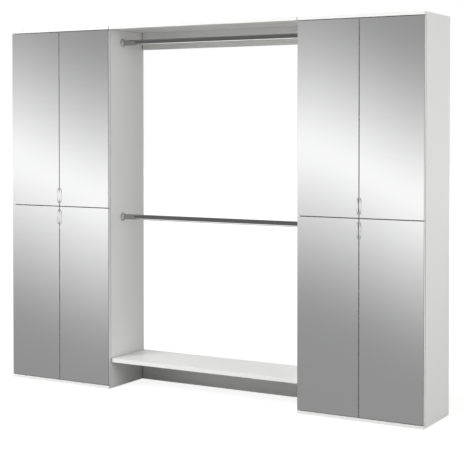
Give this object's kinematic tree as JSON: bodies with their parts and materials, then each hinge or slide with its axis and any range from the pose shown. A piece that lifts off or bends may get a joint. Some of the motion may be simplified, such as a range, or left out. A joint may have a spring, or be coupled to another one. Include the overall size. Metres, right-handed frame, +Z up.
{
  "type": "hallway wardrobe",
  "caption": "White hallway wardrobe: two narrow cabinets with mirror doors joined by an open bay with clothes rails, a low shelf and a top board.",
  "frame": {"origin": "on the floor, under the middle of the overall box, pulls included", "axes": "+X along the front to the right of someone who faces the doors, +Y from the front to the back, +Z up"},
  "size_m": [2.6, 0.367, 2.06],
  "materials": {
    "white_board": "white melamine on chipboard, satin, with white edging",
    "white_hardboard": "white lacquered thin fibreboard",
    "mirror": "silvered glass with polished edges",
    "chrome": "polished chrome",
    "hinge_steel": "nickel plated steel",
    "beech": "raw beech",
    "soft_buffer": "clear soft plastic"
  },
  "bodies": {
    "carcass": {"left_cabinet_top_board": "white_board", "left_cabinet_bottom_board": "white_board", "left_cabinet_left_side": "white_board", "left_cabinet_right_side": "white_board", "left_cabinet_back_panel": "white_hardboard", "left_cabinet_fixed_shelf": "white_board", "left_cabinet_loose_shelves": "white_board", "left_cabinet_shelf_pins": "hinge_steel", "left_cabinet_hinge_arms": "hinge_steel", "right_cabinet_top_board": "white_board", "right_cabinet_bottom_board": "white_board", "right_cabinet_left_side": "white_board", "right_cabinet_right_side": "white_board", "right_cabinet_back_panel": "white_hardboard", "right_cabinet_fixed_shelf": "white_board", "right_cabinet_loose_shelves": "white_board", "right_cabinet_shelf_pins": "hinge_steel", "right_cabinet_hinge_arms": "hinge_steel", "bay_top_board": "white_board", "bay_back_rail": "white_board", "bay_plinth": "white_board", "bay_low_shelf": "white_board", "upper_clothes_rail": "chrome", "lower_clothes_rail": "chrome", "rail_sockets": "chrome", "wooden_dowels": "beech", "wood_screws": "hinge_steel", "door_buffers": "soft_buffer"},
    "left_cabinet_upper_left_leaf": {"left_cabinet_upper_left_door": "white_board", "left_cabinet_upper_left_mirror": "mirror", "left_cabinet_upper_left_pull": "chrome", "left_cabinet_upper_left_hinge_cups": "hinge_steel"},
    "left_cabinet_upper_right_leaf": {"left_cabinet_upper_right_door": "white_board", "left_cabinet_upper_right_mirror": "mirror", "left_cabinet_upper_right_pull": "chrome", "left_cabinet_upper_right_hinge_cups": "hinge_steel"},
    "left_cabinet_lower_left_leaf": {"left_cabinet_lower_left_door": "white_board", "left_cabinet_lower_left_mirror": "mirror", "left_cabinet_lower_left_pull": "chrome", "left_cabinet_lower_left_hinge_cups": "hinge_steel"},
    "left_cabinet_lower_right_leaf": {"left_cabinet_lower_right_door": "white_board", "left_cabinet_lower_right_mirror": "mirror", "left_cabinet_lower_right_pull": "chrome", "left_cabinet_lower_right_hinge_cups": "hinge_steel"},
    "right_cabinet_upper_left_leaf": {"right_cabinet_upper_left_door": "white_board", "right_cabinet_upper_left_mirror": "mirror", "right_cabinet_upper_left_pull": "chrome", "right_cabinet_upper_left_hinge_cups": "hinge_steel"},
    "right_cabinet_upper_right_leaf": {"right_cabinet_upper_right_door": "white_board", "right_cabinet_upper_right_mirror": "mirror", "right_cabinet_upper_right_pull": "chrome", "right_cabinet_upper_right_hinge_cups": "hinge_steel"},
    "right_cabinet_lower_left_leaf": {"right_cabinet_lower_left_door": "white_board", "right_cabinet_lower_left_mirror": "mirror", "right_cabinet_lower_left_pull": "chrome", "right_cabinet_lower_left_hinge_cups": "hinge_steel"},
    "right_cabinet_lower_right_leaf": {"right_cabinet_lower_right_door": "white_board", "right_cabinet_lower_right_mirror": "mirror", "right_cabinet_lower_right_pull": "chrome", "right_cabinet_lower_right_hinge_cups": "hinge_steel"}
  },
  "joints": [
    {"name": "left_cabinet_upper_left_hinge", "type": "hinge", "parent": "carcass", "child": "left_cabinet_upper_left_leaf", "pos_m": [-1.2925, -0.1605, 1.5365], "axis": [0, 0, -1], "range_deg": [0, 95]},
    {"name": "left_cabinet_upper_right_hinge", "type": "hinge", "parent": "carcass", "child": "left_cabinet_upper_right_leaf", "pos_m": [-0.6075, -0.1605, 1.5365], "axis": [0, 0, 1], "range_deg": [0, 95]},
    {"name": "left_cabinet_lower_left_hinge", "type": "hinge", "parent": "carcass", "child": "left_cabinet_lower_left_leaf", "pos_m": [-1.2925, -0.1605, 0.5235], "axis": [0, 0, -1], "range_deg": [0, 95]},
    {"name": "left_cabinet_lower_right_hinge", "type": "hinge", "parent": "carcass", "child": "left_cabinet_lower_right_leaf", "pos_m": [-0.6075, -0.1605, 0.5235], "axis": [0, 0, 1], "range_deg": [0, 95]},
    {"name": "right_cabinet_upper_left_hinge", "type": "hinge", "parent": "carcass", "child": "right_cabinet_upper_left_leaf", "pos_m": [0.6075, -0.1605, 1.5365], "axis": [0, 0, -1], "range_deg": [0, 95]},
    {"name": "right_cabinet_upper_right_hinge", "type": "hinge", "parent": "carcass", "child": "right_cabinet_upper_right_leaf", "pos_m": [1.2925, -0.1605, 1.5365], "axis": [0, 0, 1], "range_deg": [0, 95]},
    {"name": "right_cabinet_lower_left_hinge", "type": "hinge", "parent": "carcass", "child": "right_cabinet_lower_left_leaf", "pos_m": [0.6075, -0.1605, 0.5235], "axis": [0, 0, -1], "range_deg": [0, 95]},
    {"name": "right_cabinet_lower_right_hinge", "type": "hinge", "parent": "carcass", "child": "right_cabinet_lower_right_leaf", "pos_m": [1.2925, -0.1605, 0.5235], "axis": [0, 0, 1], "range_deg": [0, 95]}
  ]
}
